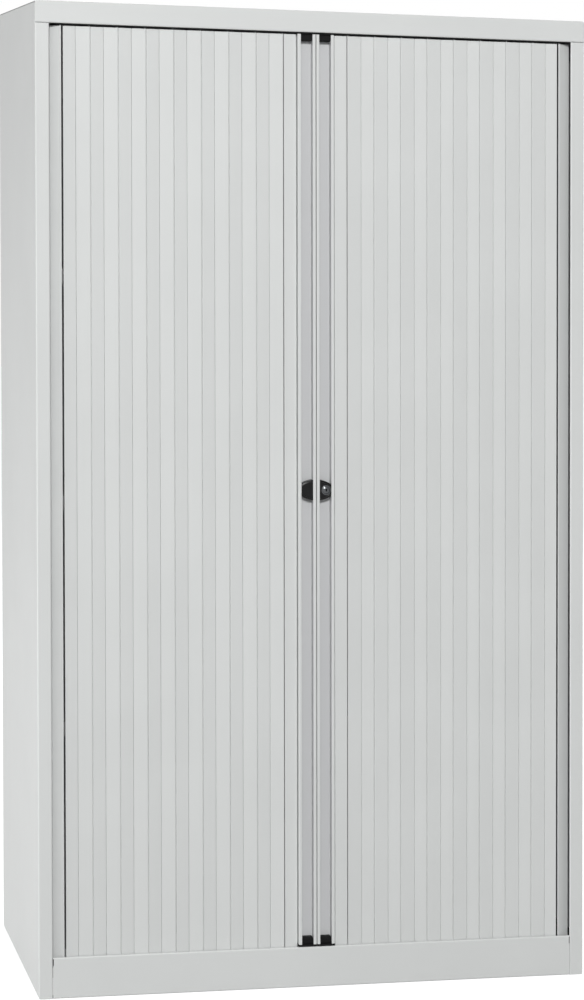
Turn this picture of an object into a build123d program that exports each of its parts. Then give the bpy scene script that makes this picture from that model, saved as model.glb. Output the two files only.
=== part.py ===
"""Side-opening tambour cupboard: a steel carcass with two slatted curtains.

Millimetres. The origin is on the floor, midway across the width and the depth.
X runs to the right seen from the front, Y from the front to the back, Z up.
"outward" is the distance from the middle plane x = 0 towards a side panel, and
"depth" is the distance behind the front face of the fascia.
"""

import os

from build123d import *

# Overall size
WIDTH = 1000.0
DEPTH = 470.0
HEIGHT = 1738.0
HALF_WIDTH = WIDTH / 2

# Gaps and cutters
SEAM = 0.5
FIT = 0.1
OVERSHOOT = 1.0
EDGE_TOLERANCE = 0.1

# Carcass sheet
SHEET = 1.2
BEND = 2.4
CORNER_RADIUS = 4.0
STILE_WIDTH = 25.0
STILE_DEPTH = 1.0
STILE_LIP = 2.8
REAR_FLANGE = 20.0
FASCIA_HEIGHT = 38.0
FASCIA_LIP = 4.0
REAR_DROP = 30.0
TOP_GAP = 1.5
SIDE_TOP_GAP = 2.8
PLINTH_HEIGHT = 72.0
PLINTH_DEPTH = 1.3
PLINTH_LIP = 5.0
PLINTH_FOOT = 20.0
PLINTH_NOTCH_HEIGHT = 12.0
PLINTH_NOTCH = 1.1
BACK_BOTTOM = 2.0
BASE_FRONT = 4.6
BASE_BACK = 466.8
BASE_TOP = 54.0
BASE_FLANGE = 18.0
FLOOR_TOP = 70.0
STORE_FRONT = 64.0
STORE_BACK = 466.0
LINING_OUTWARD = 470.0

# Guide tracks
TRACK_THICKNESS = 12.0
TRACK_FRONT = 4.2
TRACK_REAR = 24.0
TRACK_SIDE_INNER = 470.4
TRACK_SIDE_OUTER = 498.3
TRACK_BACK = 460.0
GROOVE_WIDTH = 5.6
GROOVE_DEPTH = 8.0
GROOVE_TURN_RADIUS = 20.0
GROOVE_SIDE_OUTWARD = 484.0
GROOVE_BACK = 452.0
GROOVE_END_WALL = 1.0
UPPER_TRACK_BOTTOM = 1705.0
TRACK_LIP_BOTTOM = 1698.0
TRACK_LIP_REAR = 5.2
TRACK_LIP_OUTWARD = 480.0
BOSS_RADIUS = 5.0
BOSS_OUTWARD = (150.0, 330.0, 440.0)
BOSS_DEPTH = 18.5

# Tambour slats
SLATS = 9
SLAT_PITCH = 49.2
FIRST_PIVOT = 59.6
CORNER_SHIFT = 1.3
PIVOT_DEPTH = 8.2
BEAD_RADIUS = 1.2
SLAT_SHEET = 1.0
VALLEY = 2.0
JOINT_GAP = 2.5
TONGUE_REACH = 1.5
TONGUE_FRONT = 1.35
TONGUE_REAR = 2.0
CORNER_TURN = 25.0
CORNER_SLAT_END = 25.6
SLAT_BOTTOM = 67.0
SLAT_TOP = 1704.0
PIN_RADIUS = 0.7
PIN_LENGTH = 7.0

# Glides that carry the slats in the tracks
GLIDE_WIDTH = 3.0
GLIDE_LENGTH = 5.4
GLIDE_HEIGHT = 7.0
GLIDE_HOLE_RADIUS = 0.78
GLIDE_GAP = 0.5

# Leading handle stiles
MEETING_GAP = 0.7
HANDLE_OUTER = 32.7
HANDLE_FRONT = 1.6
HANDLE_REAR = 17.6
HANDLE_FLOOR = 2.0
POST = 5.3
POST_EDGE = 0.8
TAIL_GAP = 2.3
HANDLE_BOTTOM = 76.3
HANDLE_TOP = 1696.6
CAP_BOTTOM = 72.6
CAP_TOP = 1697.7
CAP_PLUG = 14.0
CAP_CORNER = 3.0
PLUG_RECESS = 0.4
GUIDE_START = 8.0
GUIDE_END = 26.0
GUIDE_HALF_THICKNESS = 2.7
GUIDE_REACH = 6.0

# Lock
LOCK_HEIGHT = 888.6
LOCK_OUTWARD = 18.0
COVER_HALF_LENGTH = 32.6
COVER_HALF_HEIGHT = 18.4
COVER_FRONT = 2.4
CYLINDER_RADIUS = 9.0
CYLINDER_BORE = 9.1
CYLINDER_FRONT = 1.9
CYLINDER_EDGE = 1.0
KEYHOLE_LENGTH = 8.0
KEYHOLE_WIDTH = 1.8
KEYHOLE_DEPTH = 6.0
TAIL_RADIUS = 4.0
TAIL_REAR = 22.0
TAIL_HEAD_RADIUS = 6.0
HOOK_FRONT = 18.4
HOOK_REAR = 20.6
HOOK_REACH = 36.0
HOOK_THROAT = 31.2
HOOK_ARM = (3.2, 10.0)
HOOK_CLAW_END = -6.0
HOOK_EYE_RADIUS = 10.0
HOOK_FIT = 0.05
KEEPER_OUTWARD = 10.0
KEEPER_RADIUS = 2.4
KEEPER_ROOT = 2.0
KEEPER_REAR = 21.0

# Shelves, clips and feet
SHELF_HALF_WIDTH = 467.5
SHELF_FRONT = 66.0
SHELF_BACK = 463.0
SHELF_SHEET = 1.0
SHELF_FOLD = 25.0
SHELF_SLOTS = (8, 16, 24)
SLOT_PITCH = 50.0
SLOT_COUNT = 32
SLOT_LENGTH = 12.0
SLOT_HEIGHT = 3.4
SLOT_DEPTHS = (110.0, 420.0)
CLIP_LENGTH = 11.0
CLIP_THICKNESS = 2.4
CLIP_INNER = 456.0
CLIP_OUTER = 473.0
CLIP_TAB = 8.0
FOOT_OUTWARD = 440.0
FOOT_DEPTHS = (45.0, 425.0)
FOOT_RADIUS = 20.0
FOOT_PAD = 6.0
FOOT_STEM_RADIUS = 5.0
FOOT_STEM_HOLE = 5.4
FOOT_STEM_TOP = 62.0
FOOT_NUT_RADIUS = 9.8
FOOT_NUT_HEIGHT = 8.0
NUT_SIDES = 6

SIDES = {"left": -1, "right": 1}


def at_depth(depth):
    """Y of a plane the given distance behind the front face."""
    return depth - DEPTH / 2


def block(x0, x1, depth0, depth1, z0, z1):
    """Box between two corners, with Y given as depths."""
    size = Box(abs(x1 - x0), depth1 - depth0, z1 - z0)
    return Pos((x0 + x1) / 2, at_depth((depth0 + depth1) / 2), (z0 + z1) / 2) * size


def post(x, depth, radius, z0, z1):
    """Upright cylinder."""
    middle = Pos(x, at_depth(depth), (z0 + z1) / 2)
    return middle * Cylinder(radius, z1 - z0)


def plan_prism(points, z0, z1):
    """Prism over a closed outline of (x, depth) points."""
    outline = Polyline(*[(x, at_depth(depth)) for x, depth in points], close=True)
    return Pos(0, 0, z0) * extrude(make_face(outline), z1 - z0, dir=(0, 0, 1))


def plan_sheet(points, z0, z1, side):
    """Folded sheet whose outer face follows (x, depth) points, folds upright."""
    route = FilletPolyline(*[(x, at_depth(d)) for x, d in points], radius=BEND)
    band = make_face(offset(route, amount=SHEET, side=side))
    return Pos(0, 0, z0) * extrude(band, z1 - z0, dir=(0, 0, 1))


def side_sheet(points, half_width, thickness=SHEET):
    """Folded sheet whose outer face follows (depth, z) points, folds along X."""
    route = FilletPolyline(*[(at_depth(d), z) for d, z in points], radius=BEND)
    band = Plane.YZ * make_face(offset(route, amount=thickness, side=Side.RIGHT))
    return Pos(-half_width, 0, 0) * extrude(band, 2 * half_width, dir=(1, 0, 0))


def rounded_front():
    """Block with the cupboard's front outline, its four corners rounded."""
    outline = RectangleRounded(WIDTH, HEIGHT, CORNER_RADIUS)
    standing = Plane.XZ * Pos(0, HEIGHT / 2) * outline
    return Pos(0, DEPTH, 0) * extrude(standing, 2 * DEPTH, dir=(0, -1, 0))


def side_panel(side):
    """Side with its front stile and rear flange folded from one sheet."""
    outer = side * HALF_WIDTH
    stile = side * (HALF_WIDTH - STILE_WIDTH)
    flange = side * (HALF_WIDTH - REAR_FLANGE)
    hand = Side.RIGHT if side < 0 else Side.LEFT
    folds = [
        (stile, STILE_LIP + STILE_DEPTH),
        (stile, STILE_DEPTH),
        (outer, STILE_DEPTH),
        (outer, DEPTH),
        (flange, DEPTH),
    ]
    top = HEIGHT - FASCIA_HEIGHT - SEAM
    panel = plan_sheet(folds, 0, top, hand)
    wall = block(
        outer,
        outer - side * SHEET,
        SHEET + SEAM,
        DEPTH - SHEET - SEAM,
        top - SHEET,
        HEIGHT - SIDE_TOP_GAP,
    )
    return (panel + wall) & rounded_front()


def top_panel():
    """Top sheet with the fascia folded down in front and a drop behind."""
    low = HEIGHT - FASCIA_HEIGHT
    folds = [
        (FASCIA_LIP, low),
        (0, low),
        (0, HEIGHT),
        (DEPTH, HEIGHT),
        (DEPTH, HEIGHT - REAR_DROP),
    ]
    panel = side_sheet(folds, HALF_WIDTH) & rounded_front()
    for side in SIDES.values():
        panel -= block(
            side * (HALF_WIDTH - SHEET - SEAM),
            side * (HALF_WIDTH + SEAM),
            SHEET,
            FASCIA_LIP + SEAM,
            low - SEAM,
            HEIGHT - SHEET,
        )
    return panel


def plinth_panel():
    """Kick plate between the stiles, with a lip at the top and the bottom."""
    half = HALF_WIDTH - STILE_WIDTH - SEAM
    folds = [
        (PLINTH_FOOT, 0),
        (PLINTH_DEPTH, 0),
        (PLINTH_DEPTH, PLINTH_HEIGHT),
        (PLINTH_LIP, PLINTH_HEIGHT),
    ]
    panel = side_sheet(folds, half)
    for side in SIDES.values():
        panel -= block(
            side * (half - PLINTH_NOTCH),
            side * (half + SEAM),
            0,
            PLINTH_DEPTH + SHEET + SEAM,
            PLINTH_HEIGHT - PLINTH_NOTCH_HEIGHT - BEND,
            PLINTH_HEIGHT - BEND,
        )
    return panel


def base_panel():
    """Flat base with its front and rear edges folded down."""
    low = BASE_TOP - BASE_FLANGE
    folds = [
        (BASE_FRONT, low),
        (BASE_FRONT, BASE_TOP),
        (BASE_BACK, BASE_TOP),
        (BASE_BACK, low),
    ]
    panel = side_sheet(folds, HALF_WIDTH - SHEET - SEAM)
    for x, depth in foot_places():
        panel -= post(x, depth, FOOT_STEM_HOLE, BASE_TOP - 2 * SHEET, BASE_TOP + SHEET)
    return panel


def floor_panel():
    """Raised floor of the lowest compartment, resting on the base."""
    low = BASE_TOP + FIT
    folds = [
        (STORE_FRONT, low),
        (STORE_FRONT, FLOOR_TOP),
        (STORE_BACK, FLOOR_TOP),
        (STORE_BACK, low),
    ]
    return side_sheet(folds, LINING_OUTWARD - SHEET - SEAM)


def back_panel():
    """Rear sheet, held behind by the side flanges."""
    half = HALF_WIDTH - SHEET - BEND
    rear = DEPTH - SHEET - FIT
    return block(-half, half, rear - SHEET, rear, BACK_BOTTOM, HEIGHT - SHEET - BEND)


def slot_height(index):
    """Middle of a row of clip slots."""
    return FLOOR_TOP + SLOT_PITCH * index


def lining(side):
    """Wall between the storage space and the curtain's pocket, with clip slots."""
    outer = side * LINING_OUTWARD
    inner = side * (LINING_OUTWARD - SHEET)
    top = HEIGHT - TOP_GAP - FIT
    panel = block(outer, inner, STORE_FRONT, STORE_BACK, BASE_TOP + FIT, top)
    slots = []
    for index in range(1, SLOT_COUNT + 1):
        for depth in SLOT_DEPTHS:
            slots.append(
                block(
                    outer + side * OVERSHOOT,
                    inner - side * OVERSHOOT,
                    depth - SLOT_LENGTH / 2,
                    depth + SLOT_LENGTH / 2,
                    slot_height(index) - SLOT_HEIGHT / 2,
                    slot_height(index) + SLOT_HEIGHT / 2,
                )
            )
    return panel - slots


def track(z0, groove_z):
    """Guide for the curtains: a front run and a run back along each pocket."""
    body = block(
        -TRACK_SIDE_OUTER,
        TRACK_SIDE_OUTER,
        TRACK_FRONT,
        TRACK_REAR,
        z0,
        z0 + TRACK_THICKNESS,
    )
    for side in SIDES.values():
        body += block(
            side * TRACK_SIDE_INNER,
            side * TRACK_SIDE_OUTER,
            TRACK_FRONT,
            TRACK_BACK,
            z0,
            z0 + TRACK_THICKNESS,
        )
    corners = [
        (-GROOVE_SIDE_OUTWARD, at_depth(GROOVE_BACK)),
        (-GROOVE_SIDE_OUTWARD, at_depth(PIVOT_DEPTH)),
        (GROOVE_SIDE_OUTWARD, at_depth(PIVOT_DEPTH)),
        (GROOVE_SIDE_OUTWARD, at_depth(GROOVE_BACK)),
    ]
    route = FilletPolyline(*corners, radius=GROOVE_TURN_RADIUS)
    groove = Pos(0, 0, groove_z) * extrude(
        trace(route, GROOVE_WIDTH), GROOVE_DEPTH, dir=(0, 0, 1)
    )
    end_run = block(
        -TRACK_SIDE_OUTER + GROOVE_END_WALL,
        TRACK_SIDE_OUTER - GROOVE_END_WALL,
        PIVOT_DEPTH - GROOVE_WIDTH / 2,
        PIVOT_DEPTH + GROOVE_WIDTH / 2,
        groove_z,
        groove_z + GROOVE_DEPTH,
    )
    return body - groove - end_run


def upper_track():
    """Guide under the top panel, hung from bosses, with a lip below the fascia."""
    rail = track(UPPER_TRACK_BOTTOM, UPPER_TRACK_BOTTOM)
    rail += block(
        -TRACK_LIP_OUTWARD,
        TRACK_LIP_OUTWARD,
        TRACK_FRONT,
        TRACK_LIP_REAR,
        TRACK_LIP_BOTTOM,
        UPPER_TRACK_BOTTOM + OVERSHOOT,
    )
    root = UPPER_TRACK_BOTTOM + TRACK_THICKNESS - OVERSHOOT
    for outward in BOSS_OUTWARD:
        for side in SIDES.values():
            x = side * outward
            rail += post(x, BOSS_DEPTH, BOSS_RADIUS, root, HEIGHT - TOP_GAP)
    return rail


def lower_track():
    """Guide on the base, behind the plinth."""
    groove_z = BASE_TOP + TRACK_THICKNESS - GROOVE_DEPTH
    return track(BASE_TOP, groove_z)


def valley_line(outward):
    """Distance of a slat's front face behind its pivot line."""
    middle = SLAT_PITCH / 2
    end = SLAT_PITCH - JOINT_GAP
    if outward <= middle:
        return -BEAD_RADIUS + VALLEY * outward / middle
    return -BEAD_RADIUS + VALLEY * (end - outward) / (end - middle)


def folded_edge():
    """Outer edge of a slat: a wall folded back from the front face."""
    end = SLAT_PITCH - JOINT_GAP
    wall = end - SLAT_SHEET
    return [
        (end, valley_line(end)),
        (end, TONGUE_REAR),
        (wall, TONGUE_REAR),
        (wall, valley_line(wall) + SLAT_SHEET),
    ]


def tongue_edge():
    """Folded edge that goes on as a tongue behind the next slat's bead."""
    front, rear, *back = folded_edge()
    tip = SLAT_PITCH + TONGUE_REACH
    tongue = [(front[0], TONGUE_FRONT), (tip, TONGUE_FRONT), (tip, TONGUE_REAR)]
    return [front, *tongue, *back]


def plain_edge():
    """Outer edge of the last slat, cut back to turn clear of the side panel."""
    front = valley_line(CORNER_SLAT_END)
    return [(CORNER_SLAT_END, front), (CORNER_SLAT_END, front + SLAT_SHEET)]


def outer_edge(number):
    """Outer edge of a slat; the joint before the corner slat has no tongue."""
    if number == SLATS:
        return plain_edge()
    return folded_edge() if number == SLATS - 1 else tongue_edge()


def slat(side, number):
    """Steel slat about its pivot: a bead, a shallow V, and the outer edge."""
    middle = SLAT_PITCH / 2
    outline = [(0, valley_line(0)), (middle, valley_line(middle))]
    outline += outer_edge(number)
    outline += [
        (middle, valley_line(middle) + SLAT_SHEET),
        (0, valley_line(0) + SLAT_SHEET),
    ]
    points = [(side * out, depth) for out, depth in outline]
    face = make_face(Polyline(*points, close=True)) + Circle(BEAD_RADIUS)
    plate = Pos(0, 0, SLAT_BOTTOM) * extrude(
        face, SLAT_TOP - SLAT_BOTTOM, dir=(0, 0, 1)
    )
    length = SLAT_TOP - SLAT_BOTTOM + 2 * PIN_LENGTH
    pin = Pos(0, 0, (SLAT_TOP + SLAT_BOTTOM) / 2) * Cylinder(PIN_RADIUS, length)
    return plate + pin


def pivot_outward(number):
    """Pivot line of a slat, counted from the handle, with the curtain closed."""
    opened = CORNER_SHIFT if number == SLATS else 0
    return FIRST_PIVOT + SLAT_PITCH * (number - 1) + opened


def placed_slat(side, number):
    """Slat in the closed curtain; the last one starts round the corner."""
    turn = side * CORNER_TURN if number == SLATS else 0
    place = Pos(side * pivot_outward(number), at_depth(PIVOT_DEPTH))
    return place * Rot(0, 0, turn) * slat(side, number)


def glide(side, number):
    """Nylon blocks that hold a slat's pins in the two tracks."""
    x = side * pivot_outward(number)
    low = BASE_TOP + TRACK_THICKNESS - GROOVE_DEPTH + GLIDE_GAP
    high = UPPER_TRACK_BOTTOM + GLIDE_GAP
    blocks = []
    for z in (low, high):
        shape = block(
            x - GLIDE_WIDTH / 2,
            x + GLIDE_WIDTH / 2,
            PIVOT_DEPTH - GLIDE_LENGTH / 2,
            PIVOT_DEPTH + GLIDE_LENGTH / 2,
            z,
            z + GLIDE_HEIGHT,
        )
        bottom = z - OVERSHOOT
        top = z + GLIDE_HEIGHT + OVERSHOOT
        shape -= post(x, PIVOT_DEPTH, GLIDE_HOLE_RADIUS, bottom, top)
        blocks.append(shape)
    return Compound(children=blocks)


def handle(side):
    """Handle stile: a finger channel between two posts, and the first half slat."""
    inner = MEETING_GAP + POST
    outer = HANDLE_OUTER - POST
    floor = HANDLE_REAR - HANDLE_FLOOR
    channel = [
        (MEETING_GAP, HANDLE_FRONT),
        (inner, HANDLE_FRONT),
        (inner, floor),
        (outer, floor),
        (outer, HANDLE_FRONT),
        (HANDLE_OUTER, HANDLE_FRONT),
        (HANDLE_OUTER, HANDLE_REAR),
        (MEETING_GAP, HANDLE_REAR),
    ]
    post_edges = (MEETING_GAP, inner, outer, HANDLE_OUTER)
    body = plan_prism([(side * out, d) for out, d in channel], HANDLE_BOTTOM, HANDLE_TOP)
    front_edges = [
        edge
        for edge in body.edges().filter_by(Axis.Z)
        if abs(edge.center().Y - at_depth(HANDLE_FRONT)) < EDGE_TOLERANCE
        and min(abs(abs(edge.center().X) - out) for out in post_edges) < EDGE_TOLERANCE
    ]
    body = fillet(front_edges, POST_EDGE)
    body += tail(side)
    centre = (side * LOCK_OUTWARD, LOCK_HEIGHT)
    radius = CYLINDER_BORE
    if side < 0:
        centre = (side * KEEPER_OUTWARD, LOCK_HEIGHT)
        radius = KEEPER_RADIUS + FIT
    hole = depth_cylinder(*centre, radius, floor - OVERSHOOT, HANDLE_REAR + OVERSHOOT)
    return body - hole


def tail(side):
    """Half slat beside the handle, folded back to the rear of its outer post."""
    shift = FIRST_PIVOT - SLAT_PITCH
    post_face = HANDLE_OUTER - shift
    start = post_face + TAIL_GAP
    fold = start + SLAT_SHEET
    rear = HANDLE_REAR - PIVOT_DEPTH
    outline = [
        (start, valley_line(start)),
        *folded_edge(),
        (fold, valley_line(fold) + SLAT_SHEET),
        (fold, rear),
        (post_face, rear),
        (post_face, rear - HANDLE_FLOOR),
        (start, rear - HANDLE_FLOOR),
    ]
    points = [(side * (out + shift), d + PIVOT_DEPTH) for out, d in outline]
    return plan_prism(points, HANDLE_BOTTOM, HANDLE_TOP)


def depth_cylinder(x, z, radius, depth0, depth1):
    """Cylinder lying along Y between two depths."""
    middle = Pos(x, at_depth((depth0 + depth1) / 2), z)
    return middle * Rot(90, 0, 0) * Cylinder(radius, depth1 - depth0)


def handle_caps(side):
    """Plastic end caps: a plate over the end, a plug in the channel, a guide."""
    inner = side * (MEETING_GAP + POST + FIT)
    outer = side * (HANDLE_OUTER - POST - FIT)
    floor = HANDLE_REAR - HANDLE_FLOOR - FIT
    front = HANDLE_FRONT + PLUG_RECESS
    caps = []
    ends = ((CAP_BOTTOM, HANDLE_BOTTOM, 1), (CAP_TOP, HANDLE_TOP, -1))
    for outside, inside, up in ends:
        face = inside - up * FIT
        plate = block(
            side * MEETING_GAP,
            side * (HANDLE_OUTER - FIT),
            HANDLE_FRONT,
            HANDLE_REAR,
            min(outside, face),
            max(outside, face),
        )
        tip = inside + up * CAP_PLUG
        plug = block(inner, outer, front, floor, min(face, tip), max(face, tip))
        tip_edges = [
            edge
            for edge in plug.edges().filter_by(Axis.Y)
            if abs(edge.center().Z - tip) < EDGE_TOLERANCE
        ]
        plug = fillet(tip_edges, CAP_CORNER)
        track_mouth = BASE_TOP + TRACK_THICKNESS if up > 0 else UPPER_TRACK_BOTTOM
        end = track_mouth - up * GUIDE_REACH
        guide = block(
            side * GUIDE_START,
            side * GUIDE_END,
            PIVOT_DEPTH - GUIDE_HALF_THICKNESS,
            PIVOT_DEPTH + GUIDE_HALF_THICKNESS,
            min(outside, end),
            max(outside, end),
        )
        caps.append(plate + plug + guide)
    return Compound(children=caps)


def lock_oval(side, rear):
    """Half of the lock's oval cover, filling the finger channel."""
    oval = Plane.XZ * Ellipse(COVER_HALF_LENGTH, COVER_HALF_HEIGHT)
    cover = extrude(oval, 2 * DEPTH, dir=(0, -1, 0), both=True)
    cover = Pos(0, 0, LOCK_HEIGHT) * cover
    bay = block(
        side * (MEETING_GAP + POST + FIT),
        side * (HANDLE_OUTER - POST - FIT),
        COVER_FRONT,
        rear,
        LOCK_HEIGHT - 2 * COVER_HALF_HEIGHT,
        LOCK_HEIGHT + 2 * COVER_HALF_HEIGHT,
    )
    return bay & cover


def lock_housing():
    """Right half of the oval cover, bored for the lock cylinder."""
    rear = HANDLE_REAR - HANDLE_FLOOR - FIT
    place = (LOCK_OUTWARD, LOCK_HEIGHT)
    bore = depth_cylinder(*place, CYLINDER_BORE, 0, rear + OVERSHOOT)
    return lock_oval(1, rear) - bore


def lock_keeper():
    """Left half of the oval cover, with the keeper pin behind the stile."""
    rear = HANDLE_REAR - HANDLE_FLOOR - FIT
    root = rear - KEEPER_ROOT
    pin = depth_cylinder(-KEEPER_OUTWARD, LOCK_HEIGHT, KEEPER_RADIUS, root, KEEPER_REAR)
    return lock_oval(-1, rear) + pin


def lock_cylinder():
    """Lock cylinder with its keyhole, tail and tail head."""
    place = (LOCK_OUTWARD, LOCK_HEIGHT)
    barrel = depth_cylinder(*place, CYLINDER_RADIUS, CYLINDER_FRONT, HANDLE_REAR)
    rim = [
        edge
        for edge in barrel.edges().filter_by(GeomType.CIRCLE)
        if abs(edge.center().Y - at_depth(CYLINDER_FRONT)) < EDGE_TOLERANCE
    ]
    barrel = fillet(rim, CYLINDER_EDGE)
    barrel += depth_cylinder(*place, TAIL_RADIUS, HANDLE_REAR - OVERSHOOT, TAIL_REAR)
    barrel += depth_cylinder(*place, TAIL_HEAD_RADIUS, HOOK_REAR + FIT, TAIL_REAR)
    barrel -= block(
        LOCK_OUTWARD - KEYHOLE_WIDTH / 2,
        LOCK_OUTWARD + KEYHOLE_WIDTH / 2,
        CYLINDER_FRONT - OVERSHOOT,
        CYLINDER_FRONT + KEYHOLE_DEPTH,
        LOCK_HEIGHT - KEYHOLE_LENGTH / 2,
        LOCK_HEIGHT + KEYHOLE_LENGTH / 2,
    )
    return barrel


def lock_hook():
    """Hook on the cylinder's tail, pointing up while unlocked."""
    arm_low, arm_high = HOOK_ARM
    arm = block(
        LOCK_OUTWARD + arm_low,
        LOCK_OUTWARD + arm_high,
        HOOK_FRONT,
        HOOK_REAR,
        LOCK_HEIGHT,
        LOCK_HEIGHT + HOOK_REACH,
    )
    claw = block(
        LOCK_OUTWARD + HOOK_CLAW_END,
        LOCK_OUTWARD + arm_high,
        HOOK_FRONT,
        HOOK_REAR,
        LOCK_HEIGHT + HOOK_THROAT,
        LOCK_HEIGHT + HOOK_REACH,
    )
    place = (LOCK_OUTWARD, LOCK_HEIGHT)
    eye = depth_cylinder(*place, HOOK_EYE_RADIUS, HOOK_FRONT, HOOK_REAR)
    front = HOOK_FRONT - OVERSHOOT
    rear = HOOK_REAR + OVERSHOOT
    hole = depth_cylinder(*place, TAIL_RADIUS + HOOK_FIT, front, rear)
    return arm + claw + eye - hole


def shelf_top(slot_index):
    """Top face of a shelf held by clips in a row of slots."""
    return slot_height(slot_index) + CLIP_THICKNESS / 2 + SHELF_SHEET


def shelf(slot_index):
    """Shelf with its front and rear edges folded down."""
    top = shelf_top(slot_index)
    folds = [
        (SHELF_FRONT, top - SHELF_FOLD),
        (SHELF_FRONT, top),
        (SHELF_BACK, top),
        (SHELF_BACK, top - SHELF_FOLD),
    ]
    return side_sheet(folds, SHELF_HALF_WIDTH, SHELF_SHEET)


def shelf_clips():
    """Four clips a shelf, hooked through the lining's slots."""
    clips = []
    for index in SHELF_SLOTS:
        z0 = slot_height(index) - CLIP_THICKNESS / 2
        z1 = slot_height(index) + CLIP_THICKNESS / 2
        for side in SIDES.values():
            for depth in SLOT_DEPTHS:
                d0 = depth - CLIP_LENGTH / 2
                d1 = depth + CLIP_LENGTH / 2
                inner = side * CLIP_INNER
                outer = side * CLIP_OUTER
                tab = side * (CLIP_OUTER - CLIP_THICKNESS)
                clip = block(inner, outer, d0, d1, z0, z1)
                clip += block(tab, outer, d0, d1, z0 - CLIP_TAB, z1)
                clips.append(clip)
    return Compound(children=clips)


def foot_places():
    """(x, depth) of the four levelling feet."""
    return [
        (side * FOOT_OUTWARD, depth)
        for depth in FOOT_DEPTHS
        for side in SIDES.values()
    ]


def levelling_feet():
    """Four feet: pad, threaded stem and the nut under the base."""
    nut_bottom = BASE_TOP - SHEET - FIT - FOOT_NUT_HEIGHT
    hexagon = RegularPolygon(FOOT_NUT_RADIUS, NUT_SIDES)
    feet = []
    for x, depth in foot_places():
        foot = post(x, depth, FOOT_RADIUS, 0, FOOT_PAD)
        foot += post(x, depth, FOOT_STEM_RADIUS, 0, FOOT_STEM_TOP)
        nut = extrude(hexagon, FOOT_NUT_HEIGHT, dir=(0, 0, 1))
        foot += Pos(x, at_depth(depth), nut_bottom) * nut
        feet.append(foot)
    return Compound(children=feet)


def slat_name(hand, number):
    """Node name of a slat; the outermost one lies in the corner."""
    if number == SLATS:
        return f"{hand}_corner_slat"
    return f"{hand}_slat_{number}"


def all_nodes():
    """Every node of the cupboard, by name."""
    nodes = {
        "top_panel": top_panel(),
        "plinth_panel": plinth_panel(),
        "base_panel": base_panel(),
        "floor_panel": floor_panel(),
        "back_panel": back_panel(),
        "upper_track": upper_track(),
        "lower_track": lower_track(),
        "shelf_clips": shelf_clips(),
        "levelling_feet": levelling_feet(),
        "lock_housing": lock_housing(),
        "lock_keeper": lock_keeper(),
        "lock_cylinder": lock_cylinder(),
        "lock_hook": lock_hook(),
    }
    for place, index in enumerate(SHELF_SLOTS, start=1):
        nodes[f"shelf_{place}"] = shelf(index)
    for hand, side in SIDES.items():
        nodes[f"{hand}_side_panel"] = side_panel(side)
        nodes[f"{hand}_lining"] = lining(side)
        nodes[f"{hand}_handle_stile"] = handle(side)
        nodes[f"{hand}_handle_caps"] = handle_caps(side)
        for number in range(1, SLATS + 1):
            nodes[slat_name(hand, number)] = placed_slat(side, number)
            nodes[f"{hand}_glide_{number}"] = glide(side, number)
    return nodes


def main():
    os.makedirs("parts", exist_ok=True)
    for name, shape in all_nodes().items():
        export_step(shape, f"parts/{name}.step")


main()
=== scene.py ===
"""Side-opening tambour cupboard: finishes, detailed pieces, stage and camera.

Metres. The origin is on the floor, midway across the width and the depth.
X runs to the right seen from the front, Y from the front to the back, Z up.
"""

import math

import bmesh
import bpy
from mathutils import Euler, Matrix, Vector


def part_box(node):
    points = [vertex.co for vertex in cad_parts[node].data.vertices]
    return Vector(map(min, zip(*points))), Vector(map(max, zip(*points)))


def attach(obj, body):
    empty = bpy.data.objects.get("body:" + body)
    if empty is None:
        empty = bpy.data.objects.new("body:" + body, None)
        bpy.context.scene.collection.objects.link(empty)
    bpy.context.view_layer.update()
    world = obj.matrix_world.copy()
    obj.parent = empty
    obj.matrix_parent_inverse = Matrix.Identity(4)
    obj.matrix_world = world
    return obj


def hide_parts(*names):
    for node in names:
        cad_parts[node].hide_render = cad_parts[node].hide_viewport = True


bl_info = {
    "name": "Tambour cupboard",
    "version": (1, 0, 0),
    "blender": (4, 5, 0),
    "location": "View3D > Sidebar > Cupboard",
    "description": "Dresses the frame of a side-opening tambour cupboard",
    "category": "Object",
}

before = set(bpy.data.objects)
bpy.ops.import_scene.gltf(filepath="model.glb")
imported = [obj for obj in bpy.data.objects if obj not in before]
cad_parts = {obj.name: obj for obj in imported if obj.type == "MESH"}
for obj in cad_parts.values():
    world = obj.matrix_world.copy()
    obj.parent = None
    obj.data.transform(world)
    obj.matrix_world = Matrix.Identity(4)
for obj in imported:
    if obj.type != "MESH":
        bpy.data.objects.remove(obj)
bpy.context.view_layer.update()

MM = 0.001
# Tolerance for finding an edge or a face by its place
EPSILON = 0.01 * MM
# Play between two pieces, one of which fits into the other
CLEARANCE = 0.1 * MM
SIDES = {"left": -1, "right": 1}
SLATS = 9
# Points of a piece nearer to each other than this are joined
JOIN_WITHIN = 0.001 * MM
# An edge that turns by more than this stays sharp
SHARP_ANGLE = math.radians(32)
# Turns what lies flat so that it faces the front
FLAT_TO_FRONT = Matrix.Rotation(math.radians(90), 4, "X")


# Settings


def distance(name, description, default):
    """Setting for a length."""
    return bpy.props.FloatProperty(
        name=name,
        description=description,
        default=default,
        unit="LENGTH",
        subtype="DISTANCE",
    )


def power(name, description, default):
    """Setting for a lamp's power."""
    return bpy.props.FloatProperty(
        name=name,
        description=description,
        default=default,
        unit="POWER",
    )


def colour(name, subject, default):
    """Setting for the colour of its subject."""
    return bpy.props.StringProperty(
        name=name,
        description=f"sRGB hex colour of {subject}",
        default=default,
    )


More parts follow.
